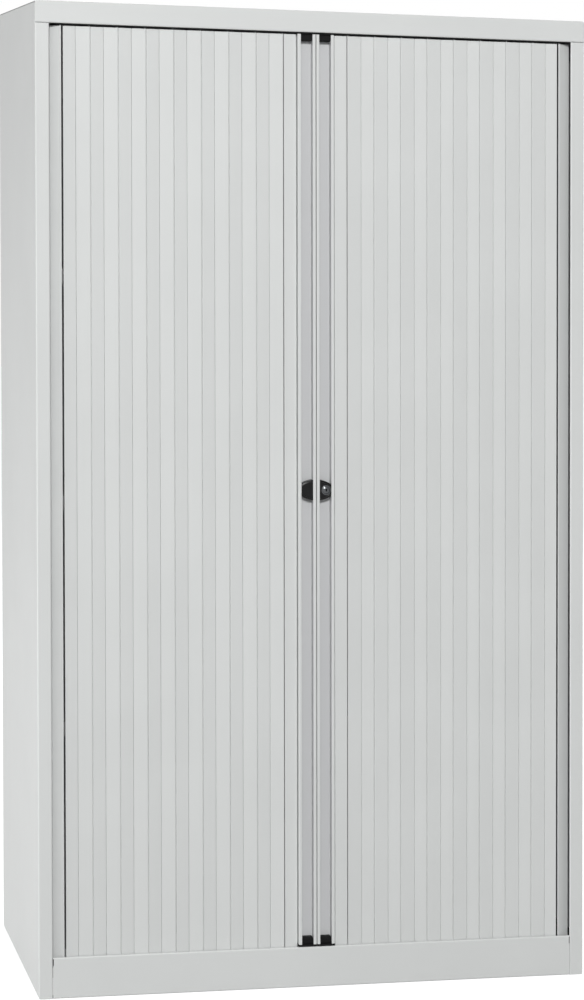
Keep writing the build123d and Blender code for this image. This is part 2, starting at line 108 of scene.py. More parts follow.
class CoatSettings(bpy.types.PropertyGroup):
    """Colours and grain of the painted steel."""

    base: colour("Coat", "the powder coat", "D9DBDA")
    shade: colour("Coat shade", "the coat's faintly cooler patches", "D7D9D8")
    # The channel coat is a darker grey that paints shade into the finger channels
    groove: colour("Channel coat", "the coat inside the finger channels", "C6C7C8")
    roughness: bpy.props.FloatProperty(
        name="Roughness",
        description="Roughness of the satin coat",
        default=0.46,
        min=0.0,
        max=1.0,
        subtype="FACTOR",
    )
    peel: distance("Orange peel", "Width of one dimple of the orange peel", 1.6 * MM)
    peel_depth: distance("Peel depth", "Height of the orange peel", 0.03 * MM)


class SlatSettings(bpy.types.PropertyGroup):
    """Section of a tambour slat, from its pivot outwards."""

    pitch: distance("Pitch", "Distance from one slat's pivot to the next", 49.2 * MM)
    bead: distance("Bead radius", "Radius of the rolled bead on the pivot line", 1.2 * MM)
    valley: distance("Valley", "How far the middle of a slat lies behind its edges", 1.2 * MM)
    crease: distance("Crease", "Width of the pressed groove along the valley", 1.0 * MM)
    sheet: distance("Sheet", "Thickness of the slat's steel", 0.65 * MM)
    end: distance("Outer edge", "Distance of the slat's folded edge from its pivot", 46.9 * MM)
    last_end: distance(
        "Last outer edge",
        "Folded edge of the slat before the corner, cut back a little",
        46.4 * MM,
    )
    corner_end: distance(
        "Corner edge",
        "Distance of the corner slat's plain edge from its pivot",
        24.6 * MM,
    )
    tongue: distance("Tongue", "Distance of the tongue's tip from the pivot", 50.7 * MM)
    tongue_depth: distance(
        "Tongue depth",
        "How far the tongue's front lies behind the pivot line",
        1.35 * MM,
    )
    pin: distance("Pin", "Length of the pins at the slat's ends", 7.0 * MM)
    drop: distance(
        "Head drop",
        "How far the sheet's top edge lies below the upper pins' shoulders",
        8.2 * MM,
    )
    pin_radius: distance("Pin radius", "Radius of the pins at the slat's ends", 0.7 * MM)
    corner_turn: bpy.props.FloatProperty(
        name="Corner turn",
        description="How far the last slat already turns into the corner",
        default=math.radians(25),
        subtype="ANGLE",
    )


class HandleSettings(bpy.types.PropertyGroup):
    """Section of the handle stiles and the size of their end caps."""

    post: distance("Post", "Width of the two posts beside the finger channel", 5.3 * MM)
    web: distance("Web", "Thickness of the finger channel's floor", 1.2 * MM)
    edge: distance("Post edge", "Radius of the posts' front edges", 0.6 * MM)
    outer: distance("Outer face", "Distance of the outer post's face from the middle", 32.7 * MM)
    tail_gap: distance(
        "Tail gap",
        "Gap between the outer post and the half slat beside it",
        2.3 * MM,
    )
    cap_low: distance("Lower plate", "Thickness of the plate under a handle stile", 3.6 * MM)
    cap_high: distance("Upper plate", "Thickness of the plate over a handle stile", 1.0 * MM)
    plug: distance("Cap plug", "Length of an end cap's plug in the channel", 12.4 * MM)
    plug_back: distance(
        "Plug set-back",
        "How far a plug's face lies behind the posts' fronts",
        4.0 * MM,
    )
    ribs: bpy.props.IntProperty(
        name="Ribs",
        description="Number of moulded ribs on a plug's face",
        default=7,
        min=1,
    )
    rib: distance("Rib height", "How far a rib stands out of a plug's face", 0.6 * MM)


class LockSettings(bpy.types.PropertyGroup):
    """Shape of the lock's oval cover, cylinder and keyhole."""

    half_length: distance("Cover half length", "Half the length of the oval cover", 32.6 * MM)
    half_height: distance("Cover half height", "Half the height of the oval cover", 18.4 * MM)
    bevel: distance("Cover bevel", "Width of the sloping rim round the cover", 2.6 * MM)
    rim: distance("Rim height", "How far the ridge stands in front of the cover's edge", 1.5 * MM)
    recess: distance("Face recess", "How far the cover's face lies behind its ridge", 1.1 * MM)
    barrel: distance("Cylinder radius", "Radius of the lock cylinder's ring", 8.95 * MM)
    plug: distance("Plug radius", "Radius of the turning plug inside the ring", 6.2 * MM)
    keyhole: bpy.props.FloatVectorProperty(
        name="Keyhole",
        description="Width, depth and height of the keyhole",
        default=(1.6 * MM, 0.3 * MM, 5.0 * MM),
        size=3,
        unit="LENGTH",
        subtype="XYZ",
    )


class StageSettings(bpy.types.PropertyGroup):
    """Camera, lamps and floor."""

    camera_place: bpy.props.FloatVectorProperty(
        name="Camera place",
        description="Where the camera stands",
        default=(-1.17038, -4.90820, 1.44298),
        size=3,
        unit="LENGTH",
        subtype="TRANSLATION",
    )
    yaw: bpy.props.FloatProperty(
        name="Yaw",
        description="How far the camera looks to the right of straight back",
        default=0.23638,
        subtype="ANGLE",
    )
    pitch: bpy.props.FloatProperty(
        name="Pitch",
        description="How far the camera looks down",
        default=0.0285,
        subtype="ANGLE",
    )
    roll: bpy.props.FloatProperty(
        name="Roll",
        description="Tilt of the camera about its own axis",
        default=-0.0015,
        subtype="ANGLE",
    )
    lens: bpy.props.FloatProperty(
        name="Lens",
        description="Focal length on a sensor 36 mm high",
        default=97.956,
        unit="CAMERA",
    )
    rise: bpy.props.FloatProperty(
        name="Rise",
        description="Vertical shift of the lens, as a share of the sensor",
        default=-0.245,
    )
    skew: bpy.props.FloatProperty(
        name="Skew",
        description="How far the picture's rows lean, as height over width",
        default=0.0261,
    )
    key: power("Key lamp", "Power of the large lamp in front, a little to the left", 602.0)
    back: power("Back lamp", "Power of the large lamp behind the cupboard", 190.0)
    fill: power("Fill lamp", "Power of the low lamp beside the left side panel", 28.0)
    side: power("Side lamp", "Power of the lamp beside the right side panel", 50.0)
    sky: bpy.props.FloatProperty(
        name="Surroundings",
        description="Strength of the white surroundings on the object",
        default=0.22,
        min=0.0,
    )
    floor: colour("Floor", "the floor", "9E9E9E")
    floor_shade: colour("Floor shade", "the floor's faintly darker patches", "9C9C9C")
    glow: bpy.props.FloatProperty(
        name="Floor white",
        description="Strength of the white that camera, mirrors and glass see on the floor",
        default=0.85,
        min=0.0,
    )


# Finishes


def linear(hex_colour):
    """Linear colour of an sRGB hex value."""
    channels = [int(hex_colour[i : i + 2], 16) / 255 for i in (0, 2, 4)]
    curve = [c / 12.92 if c <= 0.04045 else ((c + 0.055) / 1.055) ** 2.4 for c in channels]
    return (*curve, 1.0)


def add_node(tree, kind, inputs=None, **settings):
    """Adds a node with its settings; an input is a value or another node's output."""
    node = tree.nodes.new(kind)
    for name, value in settings.items():
        setattr(node, name, value)
    fill_inputs(tree, node, inputs or {})
    return node


def fill_inputs(tree, node, inputs):
    """Sets or links a node's inputs."""
    for name, value in inputs.items():
        if isinstance(value, bpy.types.NodeSocket):
            tree.links.new(value, node.inputs[name])
        else:
            node.inputs[name].default_value = value


def new_finish(name, inputs):
    """Material with a principled shader whose own sockets hold the uniform values."""
    material = bpy.data.materials.new(name)
    material.use_nodes = True
    tree = material.node_tree
    shader = tree.nodes["Principled BSDF"]
    fill_inputs(tree, shader, inputs)
    return material, tree, shader


def object_place(tree):
    """Where a point lies in its piece."""
    return add_node(tree, "ShaderNodeTexCoord").outputs["Object"]


# Where on the noise the first colour of the patches ends and the second begins
PATCH_STOPS = (0.38, 0.62)


def patches(tree, place, colours, size):
    """Two near colours drifting into each other over patches of the given size."""
    noise = add_node(
        tree,
        "ShaderNodeTexNoise",
        {"Vector": place, "Scale": 1 / size, "Detail": 2.0, "Roughness": 0.5},
    )
    ramp = add_node(tree, "ShaderNodeValToRGB", {"Fac": noise.outputs["Fac"]})
    for stop, position, shade in zip(ramp.color_ramp.elements, PATCH_STOPS, colours):
        stop.position = position
        stop.color = linear(shade)
    return ramp.outputs["Color"]


def grain(tree, place, size, depth):
    """Bump of rounded grains of a real width and height."""
    noise = add_node(
        tree,
        "ShaderNodeTexNoise",
        {"Vector": place, "Scale": 1 / size, "Detail": 2.0, "Roughness": 0.55},
    )
    bump = add_node(
        tree,
        "ShaderNodeBump",
        {"Height": noise.outputs["Fac"], "Distance": depth, "Strength": 1.0},
    )
    return bump.outputs["Normal"]


def haze(tree, place, size, low, high):
    """Roughness that drifts between two values over patches of the given size."""
    noise = add_node(
        tree,
        "ShaderNodeTexNoise",
        {"Vector": place, "Scale": 1 / size, "Detail": 3.0},
    )
    rough = add_node(
        tree,
        "ShaderNodeMapRange",
        {"Value": noise.outputs["Fac"], "To Min": low, "To Max": high},
    )
    return rough.outputs["Result"]


def drawn_out(tree, place, stretch):
    """Place scaled along each axis, to draw a pattern out where the scale is small."""
    inputs = {"Vector": place, "Scale": stretch}
    return add_node(tree, "ShaderNodeMapping", inputs).outputs["Vector"]


# How far the coat's roughness drifts to either side
COAT_HAZE = 0.04


def powder_coat(name, colours, stretch=(1.0, 1.0, 1.0)):
    """Polyester powder coat baked on sheet steel.

    The eye sees an even satin grey with a fine orange peel and soft highlights.
    Stretch draws the peel out along a slat, as coating a rolled strip does.
    """
    material, tree, shader = new_finish(name, {"IOR": 1.5, "Metallic": 0.0})
    place = object_place(tree)
    coat = bpy.context.scene.cupboard_coat
    low = coat.roughness - COAT_HAZE
    high = coat.roughness + COAT_HAZE
    inputs = {
        "Base Color": patches(tree, place, colours, size=180 * MM),
        "Roughness": haze(tree, place, size=35 * MM, low=low, high=high),
        "Normal": grain(tree, drawn_out(tree, place, stretch), coat.peel, coat.peel_depth),
    }
    fill_inputs(tree, shader, inputs)
    return material


def moulded_plastic(name, colours, roughness, shine, texture, depth):
    """Injection-moulded plastic with the mould's spark-eroded texture.

    The eye sees an even black whose fine grain keeps the highlights dull.
    """
    uniform = {"IOR": 1.49, "Roughness": roughness, "Specular IOR Level": shine}
    material, tree, shader = new_finish(name, uniform)
    place = object_place(tree)
    inputs = {
        "Base Color": patches(tree, place, colours, size=12 * MM),
        "Normal": grain(tree, place, texture, depth),
    }
    fill_inputs(tree, shader, inputs)
    return material


def black_track(name):
    """Deep black of the extruded guide tracks: fine die lines and rubbed-dull faces."""
    material, tree, shader = new_finish(name, {"IOR": 1.5, "Specular IOR Level": 0.1})
    place = object_place(tree)
    lines = drawn_out(tree, place, stretch=(0.02, 1.0, 1.0))
    inputs = {
        "Base Color": patches(tree, place, ("060607", "0A0A0B"), size=30 * MM),
        "Roughness": haze(tree, place, size=20 * MM, low=0.38, high=0.55),
        "Normal": grain(tree, lines, size=0.8 * MM, depth=0.02 * MM),
    }
    fill_inputs(tree, shader, inputs)
    return material


def natural_nylon(name):
    """Unpigmented nylon of the glides: milky, slightly warm and faintly waxy."""
    uniform = {
        "IOR": 1.53,
        "Roughness": 0.42,
        "Subsurface Weight": 0.15,
        "Subsurface Scale": 1.5 * MM,
    }
    material, tree, shader = new_finish(name, uniform)
    place = object_place(tree)
    inputs = {
        "Base Color": patches(tree, place, ("E6E4DA", "DDDBCF"), size=4 * MM),
        "Normal": grain(tree, place, size=0.5 * MM, depth=0.01 * MM),
    }
    fill_inputs(tree, shader, inputs)
    return material


def plated_metal(name, colours, roughness, spangle, depth):
    """Plated steel: chrome, here darkened as a painted reflection, or zinc with its mottled
    spangle.

    The haze and the fine ripple of the plating are a share of a spangle's width.
    """
    material, tree, shader = new_finish(name, {"Metallic": 1.0})
    place = object_place(tree)
    low = 0.8 * roughness
    high = 1.3 * roughness
    inputs = {
        "Base Color": patches(tree, place, colours, size=spangle),
        "Roughness": haze(tree, place, size=0.4 * spangle, low=low, high=high),
        "Normal": grain(tree, place, size=0.15 * spangle, depth=depth),
    }
    fill_inputs(tree, shader, inputs)
    return material


def carcass_powder_coat(name):
    """Coat of the folded panels and the handle stiles."""
    coat = bpy.context.scene.cupboard_coat
    return powder_coat(name, (coat.base, coat.shade))


def slat_powder_coat(name):
    """Coat of the slats, its peel drawn out along them."""
    coat = bpy.context.scene.cupboard_coat
    return powder_coat(name, (coat.base, coat.shade), stretch=(1.0, 1.0, 0.25))


def channel_powder_coat(name):
    """Darker grey coat inside the finger channels: painted shade that deepens their shading."""
    coat = bpy.context.scene.cupboard_coat
    return powder_coat(name, (coat.groove, coat.groove))


def black_polypropylene(name):
    """Dull black of the end caps and the foot pads."""
    return moulded_plastic(
        name,
        ("0A0A0B", "0E0E0F"),
        roughness=0.55,
        shine=0.14,
        texture=0.6 * MM,
        depth=0.03 * MM,
    )


def black_abs(name):
    """Smoother black of the lock's cover, with a soft highlight along its ridge."""
    return moulded_plastic(
        name,
        ("0A0A0B", "0D0D0E"),
        roughness=0.28,
        shine=0.2,
        texture=0.5 * MM,
        depth=0.008 * MM,
    )


def keyhole_shadow(name):
    """Painted shadow of the keyhole's deep inside."""
    return moulded_plastic(
        name,
        ("060606", "0A0A0A"),
        roughness=0.7,
        shine=0.14,
        texture=0.4 * MM,
        depth=0.01 * MM,
    )


def bright_chrome(name):
    """Chrome of the lock's ring and plug, its colours darkened as a painted reflection of dark
    surroundings.
    """
    return plated_metal(
        name,
        ("585A5C", "505254"),
        roughness=0.22,
        spangle=6 * MM,
        depth=0.002 * MM,
    )


def zinc_plate(name):
    """Dull silver of the hook, the clips and the feet's stems."""
    return plated_metal(
        name,
        ("B4B6B6", "9FA3A6"),
        roughness=0.34,
        spangle=5 * MM,
        depth=0.01 * MM,
    )


FINISHES = {
    maker.__name__: maker
    for maker in (
        carcass_powder_coat,
        slat_powder_coat,
        channel_powder_coat,
        black_polypropylene,
        black_abs,
        keyhole_shadow,
        black_track,
        natural_nylon,
        bright_chrome,
        zinc_plate,
    )
}


def finish(name):
    """The named finish, made on its first use."""
    return bpy.data.materials.get(name) or FINISHES[name](name)


# Shaping


def strip_edge(bm, edge, step):
    """Extrudes a sheet's free edge by a step and returns the new free edge."""
    made = bmesh.ops.extrude_edge_only(bm, edges=[edge])["geom"]
    verts = [part for part in made if isinstance(part, bmesh.types.BMVert)]
    bmesh.ops.translate(bm, verts=verts, vec=step)
    return next(
        part
        for part in made
        if isinstance(part, bmesh.types.BMEdge) and all(v in verts for v in part.verts)
    )


# An edge counts as upright from this share of its length in Z
UPRIGHT = 0.99


def upright_edges(bm, test):
    """Vertical edges whose middle passes a test."""
    found = []
    for edge in bm.edges:
        line = edge.verts[1].co - edge.verts[0].co
        middle = (edge.verts[0].co + edge.verts[1].co) / 2
        if line.length > 0 and abs(line.z) > UPRIGHT * line.length and test(middle):
            found.append(edge)
    return found


def round_edges(bm, edges, radius, segments=3):
    """Rounds edges with a circular bevel."""
    bmesh.ops.bevel(
        bm,
        geom=edges,
        offset=radius,
        offset_type="OFFSET",
        affect="EDGES",
        segments=segments,
        profile=0.5,
        material=-1,
        clamp_overlap=True,
    )


def add_block(bm, low, high):
    """Box between two corners; returns its vertices."""
    low, high = Vector(low), Vector(high)
    place = Matrix.Translation((low + high) / 2) @ Matrix.Diagonal((*(high - low), 1.0))
    return bmesh.ops.create_cube(bm, size=1.0, matrix=place)["verts"]


def add_rod(bm, centre, radius, length, axis="Z", segments=24):
    """Closed cylinder about a centre, along Y or Z."""
    turn = FLAT_TO_FRONT if axis == "Y" else Matrix()
    bmesh.ops.create_cone(
        bm,
        cap_ends=True,
        segments=segments,
        radius1=radius,
        radius2=radius,
        depth=length,
        matrix=Matrix.Translation(centre) @ turn,
    )


def turn_profile(bm, centre, axis, points, segments):
    """Turned part: spins points of (radius, place along the axis) about the axis."""
    centre = Vector(centre)
    axis = Vector(axis)
    verts = []
    for radius, place in points:
        verts.append(bm.verts.new(centre + Vector((radius, 0, 0)) + place * axis))
    edges = [bm.edges.new(pair) for pair in zip(verts, verts[1:])]
    bmesh.ops.spin(
        bm,
        geom=verts + edges,
        cent=centre,
        axis=axis,
        angle=math.radians(360),
        steps=segments,
        use_merge=True,
    )


def edges_of(verts):
    """Every edge that joins two of the vertices."""
    chosen = set(verts)
    return list({e for v in verts for e in v.link_edges if set(e.verts) <= chosen})


def join_into(bm, other):
    """Adds another bmesh's parts to this one."""
    keeper = bpy.data.meshes.new("joined")
    other.to_mesh(keeper)
    other.free()
    bm.from_mesh(keeper)
    bpy.data.meshes.remove(keeper)


def place_piece(bm, name, body, finishes, nodes=()):
    """Turns a bmesh into the piece's object, shaded softly across rounded edges."""
    bmesh.ops.remove_doubles(bm, verts=bm.verts, dist=JOIN_WITHIN)
    bmesh.ops.recalc_face_normals(bm, faces=bm.faces)
    for face in bm.faces:
        face.smooth = True
    for edge in bm.edges:
        if len(edge.link_faces) == 2 and edge.calc_face_angle() > SHARP_ANGLE:
            edge.smooth = False
    mesh = bpy.data.meshes.new(name)
    bm.to_mesh(mesh)
    bm.free()
    piece = bpy.data.objects.new(name, mesh)
    bpy.context.scene.collection.objects.link(piece)
    for each in finishes:
        mesh.materials.append(finish(each))
    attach(piece, body)
    if nodes:
        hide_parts(*nodes)
    even = piece.modifiers.new("even_shading", "WEIGHTED_NORMAL")
    even.keep_sharp = True


def dress(node, finish_name):
    """Gives a frame node its finish."""
    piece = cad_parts[node]
    if not piece.material_slots:
        piece.data.materials.append(finish(finish_name))
    for held in piece.material_slots:
        held.material = finish(finish_name)


# Slats


def slat_name(hand, number):
    """Name of a slat's node; the outermost one lies in the corner."""
    return f"{hand}_corner_slat" if number == SLATS else f"{hand}_slat_{number}"


def pivot_line(hand, number):
    """Where a slat's pins run: the middle of its two glides."""
    low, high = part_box(f"{hand}_glide_{number}")
    return (low + high) / 2


def front_line(sizes, out):
    """Depth of a slat's front behind its pivot line, at a distance from the pivot."""
    middle = sizes.pitch / 2
    if out <= middle:
        return -sizes.bead + sizes.valley * out / middle
    return -sizes.bead + sizes.valley * (sizes.end - out) / (sizes.end - middle)


def slat_section(bm, start, points, height):
    """Folds a strip of sheet through points of (out, depth), standing on z = 0."""
    foot = bm.verts.new((*start, 0.0))
    head = bm.verts.new((*start, height))
    first = bm.edges.new((foot, head))
    edge = first
    last = Vector((*start, 0.0))
    for point in points:
        here = Vector((*point, 0.0))
        edge = strip_edge(bm, edge, here - last)
        last = here
    return first


# The crease's section, in shares of its width: how far it starts before the valley's
# middle, how deep it is, where its floor starts, and how far the floor reaches past
# its far edge
CREASE_LEAD = 0.7
CREASE_DEPTH = 2.0
CREASE_FLOOR = 0.9
CREASE_UNDERCUT = 0.4


def creased_front(sizes, end):
    """Points of a slat's front up to its outer edge, with the groove in its valley."""
    near = sizes.pitch / 2 - CREASE_LEAD * sizes.crease
    far = near + sizes.crease
    floor = front_line(sizes, near) + CREASE_DEPTH * sizes.crease
    return [
        (near, front_line(sizes, near)),
        (near + CREASE_FLOOR * sizes.crease, floor),
        (far + CREASE_UNDERCUT * sizes.crease, floor),
        (far, front_line(sizes, far)),
        (end, front_line(sizes, end)),
    ]


def thicken(bm, sheet):
    """Gives a folded strip its thickness, behind its front side."""
    bmesh.ops.recalc_face_normals(bm, faces=bm.faces)
    widest = max(bm.faces, key=lambda f: f.calc_area())
    if widest.normal.y >= 0:
        bmesh.ops.reverse_faces(bm, faces=bm.faces)
    bmesh.ops.solidify(bm, geom=bm.faces[:], thickness=sheet)


# How far round the pivot the bead is rolled, and in how many steps
BEAD_WRAP = math.radians(285)
BEAD_STEPS = 14
# Radius of a fold in a slat's sheet
FOLD_RADIUS = 0.5 * MM


def shape_slat(sizes, number, height):
    """Slat about its pivot: rolled bead, grooved front and the outer edge."""
    bm = bmesh.new()
    corner = number == SLATS
    end = sizes.last_end if number == SLATS - 1 else sizes.end
    if corner:
        points = [(sizes.corner_end, front_line(sizes, sizes.corner_end))]
    else:
        points = creased_front(sizes, end)
        points.append((end, sizes.tongue_depth))
    if number < SLATS - 1:
        points.append((sizes.tongue, sizes.tongue_depth))
    first = slat_section(bm, (0.0, -sizes.bead), points, height)
    bmesh.ops.spin(
        bm,
        geom=[first, *first.verts],
        cent=(0, 0, 0),
        axis=(0, 0, 1),
        angle=-BEAD_WRAP,
        steps=BEAD_STEPS,
    )
    if not corner:
        lip = upright_edges(bm, lambda middle: abs(middle.x - end) < EPSILON)
        round_edges(bm, lip, FOLD_RADIUS)
    thicken(bm, sizes.sheet)
    for low, high in ((-sizes.pin, 0.0), (height, height + sizes.drop + sizes.pin)):
        add_rod(bm, (0, 0, (low + high) / 2), sizes.pin_radius, high - low, segments=12)
    return bm


def sheet_ends(hand, number, sizes):
    """Heights of the lower and upper edge of a slat's sheet, between its pins."""
    low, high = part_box(slat_name(hand, number))
    return low.z + sizes.pin, high.z - sizes.pin - sizes.drop


def build_slats(sizes):
    """Both curtains' slats, each on its own pivot line."""
    for hand, side in SIDES.items():
        for number in range(1, SLATS + 1):
            name = slat_name(hand, number)
            pivot = pivot_line(hand, number)
            foot, head = sheet_ends(hand, number, sizes)
            bm = shape_slat(sizes, number, head - foot)
            bmesh.ops.scale(bm, vec=(side, 1, 1), verts=bm.verts)
            if number == SLATS:
                turn = Matrix.Rotation(side * sizes.corner_turn, 3, "Z")
                bmesh.ops.rotate(bm, cent=(0, 0, 0), matrix=turn, verts=bm.verts)
            bmesh.ops.translate(bm, vec=(pivot.x, pivot.y, foot), verts=bm.verts)
            piece = f"{name}_rolled"
            place_piece(bm, piece, name, ["slat_powder_coat"], [name])


# Handle stiles and caps

# Radius in the corners of the finger channel's floor
ROOT_RADIUS = 0.3 * MM


def shape_channel(sizes, low, high):
    """Finger channel between its posts, its inside faces in the darker grey of painted shade."""
    inner = min(abs(low.x), abs(high.x))
    outer = sizes.outer
    front, rear = low.y, high.y
    floor = rear - sizes.web
    wall, far_wall = inner + sizes.post, outer - sizes.post
    section = [
        (inner, front),
        (wall, front),
        (wall, floor),
        (far_wall, floor),
        (far_wall, front),
        (outer, front),
        (outer, rear),
        (inner, rear),
    ]
    bm = bmesh.new()
    base = bm.faces.new([bm.verts.new((x, y, low.z)) for x, y in section])
    grown = bmesh.ops.extrude_face_region(bm, geom=[base])["geom"]
    tops = [part for part in grown if isinstance(part, bmesh.types.BMVert)]
    bmesh.ops.translate(bm, vec=(0, 0, high.z - low.z), verts=tops)
    fronts = upright_edges(bm, lambda middle: middle.y < front + EPSILON)
    round_edges(bm, fronts, sizes.edge, segments=4)
    roots = upright_edges(bm, lambda middle: abs(middle.y - floor) < EPSILON)
    round_edges(bm, roots, ROOT_RADIUS, segments=2)
    # Inside faces of the channel take the darker grey of painted shade
    for face in bm.faces:
        middle = face.calc_center_median()
        within = wall - EPSILON < middle.x < far_wall + EPSILON
        if within and front + sizes.edge < middle.y < rear - EPSILON:
            face.material_index = 1
    return bm


def shape_tail(hand, slats, sizes, rear):
    """Half slat beside the outer post, folded back across a gap to the web."""
    pivot = pivot_line(hand, 1)
    foot, head = sheet_ends(hand, 1, slats)
    shift = abs(pivot.x) - slats.pitch
    post = sizes.outer - shift
    start = post + sizes.tail_gap
    back = rear - sizes.web - pivot.y
    points = [
        (start, back),
        (start, front_line(slats, start)),
        (slats.end, front_line(slats, slats.end)),
        (slats.end, slats.tongue_depth + slats.sheet),
    ]
    bm = bmesh.new()
    slat_section(bm, (post, back), points, head - foot)
    deepest = front_line(slats, start) + EPSILON
    folds = upright_edges(bm, lambda middle: middle.y < deepest)
    round_edges(bm, folds, FOLD_RADIUS)
    thicken(bm, slats.sheet)
    bmesh.ops.translate(bm, vec=(shift, pivot.y, foot), verts=bm.verts)
    return bm


def build_handles(slats, sizes):
    """Handle stiles: a finger channel between two posts, and a half slat."""
    # The second coat is the darker grey that paints shade into the finger channels
    coats = ["carcass_powder_coat", "channel_powder_coat"]
    for hand, side in SIDES.items():
        node = f"{hand}_handle_stile"
        low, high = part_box(node)
        bm = shape_channel(sizes, low, high)
        join_into(bm, shape_tail(hand, slats, sizes, high.y))
        bmesh.ops.scale(bm, vec=(side, 1, 1), verts=bm.verts)
        place_piece(bm, f"{node}_channel", f"{hand}_door", coats, [node])


# Radius that rounds a plug's tip, and width of the plain border round its ribs
TIP_RADIUS = 2.2 * MM
RIB_BORDER = 0.6 * MM


def add_plug(bm, sizes, low, high, tip_up):
    """Ribbed block in the finger channel, its tip's corners rounded."""
    block = bmesh.new()
    add_block(block, low, high)
    tip = high[2] if tip_up else low[2]
    tips = []
    for edge in block.edges:
        at_tip = all(abs(v.co.z - tip) < EPSILON for v in edge.verts)
        at_rear = all(abs(v.co.y - high[1]) < EPSILON for v in edge.verts)
        if at_tip and not at_rear:
            tips.append(edge)
    round_edges(block, tips, TIP_RADIUS, segments=5)
    face = min(block.faces, key=lambda f: f.calc_center_median().y)
    bmesh.ops.inset_region(block, faces=[face], thickness=RIB_BORDER)
    raise_ribs(block, face, sizes, low[0], high[0] - low[0])
    join_into(bm, block)


def raise_ribs(bm, face, sizes, left, width):
    """Cuts a face into upright strips and raises every second one."""
    strips = [face]
    strip_width = width / (2 * sizes.ribs)
    for step in range(1, 2 * sizes.ribs):
        edges = list({edge for strip in strips for edge in strip.edges})
        verts = list({vert for strip in strips for vert in strip.verts})
        made = bmesh.ops.bisect_plane(
            bm,
            geom=strips + edges + verts,
            plane_co=(left + step * strip_width, 0, 0),
            plane_no=(1, 0, 0),
        )["geom"]
        strips = [part for part in made if isinstance(part, bmesh.types.BMFace)]
    raised = []
    for strip in strips:
        if int((strip.calc_center_median().x - left) / strip_width) % 2:
            raised.append(strip)
    tops = bmesh.ops.extrude_discrete_faces(bm, faces=raised)["faces"]
    lifted = list({vert for top in tops for vert in top.verts})
    bmesh.ops.translate(bm, vec=(0, -sizes.rib, 0), verts=lifted)


# Guide of an end cap, which runs in the track: its ends across and half its depth
GUIDE_INNER = 8 * MM
GUIDE_OUTER = 26 * MM
GUIDE_HALF_DEPTH = 2.7 * MM
# Radii of the plates' and the guides' edges
PLATE_RADIUS = 0.3 * MM
GUIDE_RADIUS = 0.6 * MM


def add_cap(bm, sizes, stile, end, up, thick, groove, tip):
    """End cap on a stile's end: plate, plug inwards and guide outwards."""
    low, high = stile
    inner = min(abs(low.x), abs(high.x))
    front, rear = low.y, high.y
    near, far = end - up * CLEARANCE, end - up * (CLEARANCE + thick)
    plate = add_block(
        bm,
        (inner, front, min(near, far)),
        (sizes.outer - CLEARANCE, rear, max(near, far)),
    )
    round_edges(bm, edges_of(plate), PLATE_RADIUS, segments=2)
    root = end + up * sizes.plug
    add_plug(
        bm,
        sizes,
        (inner + sizes.post + CLEARANCE, front + sizes.plug_back, min(end, root)),
        (sizes.outer - sizes.post - CLEARANCE, rear - sizes.web - CLEARANCE, max(end, root)),
        up > 0,
    )
    guide = add_block(
        bm,
        (GUIDE_INNER, groove - GUIDE_HALF_DEPTH, min(far, tip)),
        (GUIDE_OUTER, groove + GUIDE_HALF_DEPTH, max(far, tip)),
    )
    round_edges(bm, edges_of(guide), GUIDE_RADIUS, segments=2)


def build_caps(sizes):
    """Moulded end caps at the feet and heads of both handle stiles."""
    for hand, side in SIDES.items():
        node = f"{hand}_handle_caps"
        lowest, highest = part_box(node)
        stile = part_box(f"{hand}_handle_stile")
        groove = pivot_line(hand, 1).y
        bm = bmesh.new()
        add_cap(bm, sizes, stile, stile[0].z, 1, sizes.cap_low, groove, lowest.z)
        add_cap(bm, sizes, stile, stile[1].z, -1, sizes.cap_high, groove, highest.z)
        bmesh.ops.scale(bm, vec=(side, 1, 1), verts=bm.verts)
        piece = f"{node}_moulded"
        place_piece(bm, piece, f"{hand}_door", ["black_polypropylene"], [node])


# Lock

# Section of the cover's rim from its edge inwards: distance from the edge as a share of
# the bevel, and depth behind the ridge as a share of the rim's height
RIM_SECTION = ((0.1, 0.66), (0.22, 0.5), (0.9, 0.02), (1.0, 0.0), (1.1, 0.1))
# Where the face set back inside the ridge begins, as a share of the bevel
FACE_START = 1.16


